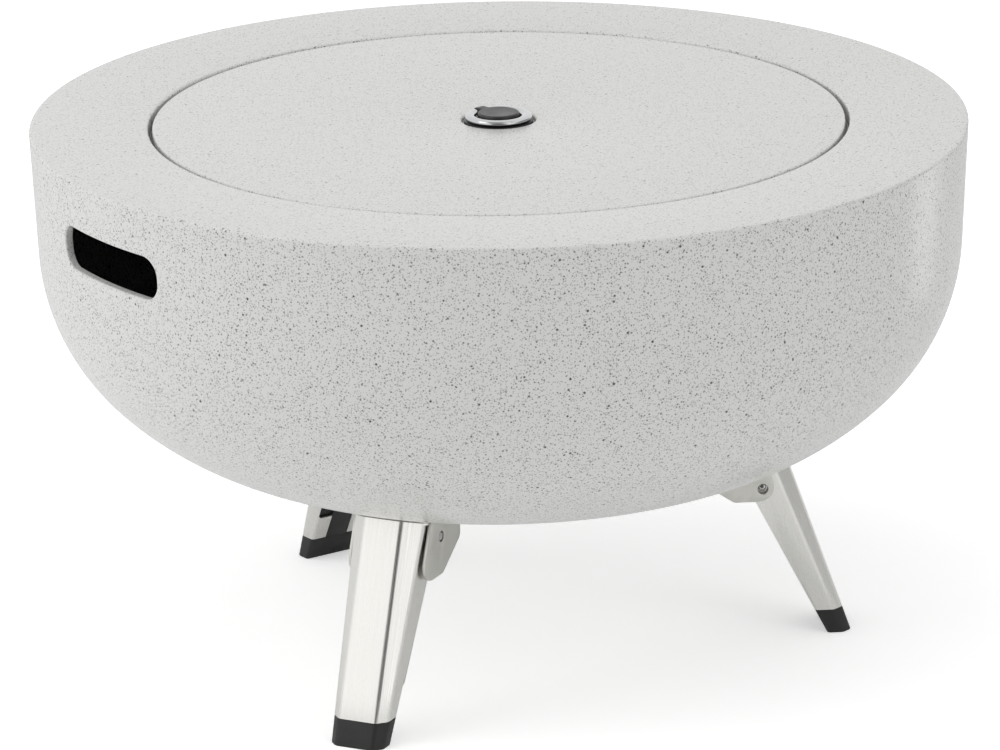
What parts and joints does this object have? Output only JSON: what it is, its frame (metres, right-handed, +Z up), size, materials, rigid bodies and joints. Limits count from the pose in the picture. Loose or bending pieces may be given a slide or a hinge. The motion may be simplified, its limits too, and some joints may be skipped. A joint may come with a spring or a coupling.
{
  "type": "fire pit",
  "caption": "Low round fire pit: speckled enamel bowl on folding sheet-metal legs, hung fire bowl with grate, flat lid with lift ring, hand slots for carrying.",
  "frame": {"origin": "on the ground under the centre of the bowl", "axes": "+Z up; the X axis runs through the two hand slots; one leg stands on +Y, the others 120 degrees either side"},
  "size_m": [0.6996, 0.6996, 0.4159],
  "materials": {
    "speckled_enamel": "gloss enamel, fine dark speckle",
    "black_enamel": "satin enamel",
    "cast_iron": "as cast",
    "stainless": "brushed along the leg",
    "zinc_steel": "bright zinc",
    "chrome": "polished",
    "black_plastic": "satin",
    "foot_plastic": "satin",
    "nylon": "plain"
  },
  "bodies": {
    "pit": {"outer_bowl": "speckled_enamel", "rim_ring": "speckled_enamel", "fire_bowl": "black_enamel", "fuel_grate": "cast_iron", "bracket_screws": "zinc_steel", "bracket_nuts": "zinc_steel", "leg_bracket_1": "stainless", "leg_bracket_2": "stainless", "leg_bracket_3": "stainless", "pivot_pin_1": "zinc_steel", "pivot_pin_2": "zinc_steel", "pivot_pin_3": "zinc_steel"},
    "lid": {"lid_panel": "speckled_enamel", "lift_ring_base": "black_plastic", "lift_ring_washer": "zinc_steel", "lift_ring_screw": "zinc_steel"},
    "ring": {"lift_ring": "chrome"},
    "leg_1": {"leg_channel_1": "stainless", "foot_1": "foot_plastic", "pivot_spacer_1": "zinc_steel", "pivot_washers_1": "nylon", "lock_plunger_1": "zinc_steel"},
    "leg_2": {"leg_channel_2": "stainless", "foot_2": "foot_plastic", "pivot_spacer_2": "zinc_steel", "pivot_washers_2": "nylon", "lock_plunger_2": "zinc_steel"},
    "leg_3": {"leg_channel_3": "stainless", "foot_3": "foot_plastic", "pivot_spacer_3": "zinc_steel", "pivot_washers_3": "nylon", "lock_plunger_3": "zinc_steel"}
  },
  "joints": [
    {"name": "lid_lift", "type": "slide", "parent": "pit", "child": "lid", "axis": [0, 0, 1], "range_m": [0, 0.25]},
    {"name": "ring_flip", "type": "hinge", "parent": "lid", "child": "ring", "pos_m": [-0.00251, 0.02046, 0.4124], "axis": [-0.9925, -0.1219, 0], "range_deg": [0, 90]},
    {"name": "leg_fold_1", "type": "hinge", "parent": "pit", "child": "leg_1", "pos_m": [0, 0.174, 0.13988], "axis": [-1, 0, 0], "range_deg": [0, 105]},
    {"name": "leg_fold_2", "type": "hinge", "parent": "pit", "child": "leg_2", "pos_m": [-0.15069, -0.087, 0.13988], "axis": [0.5, -0.866, 0], "range_deg": [0, 105]},
    {"name": "leg_fold_3", "type": "hinge", "parent": "pit", "child": "leg_3", "pos_m": [0.15069, -0.087, 0.13988], "axis": [0.5, 0.866, 0], "range_deg": [0, 105]}
  ]
}
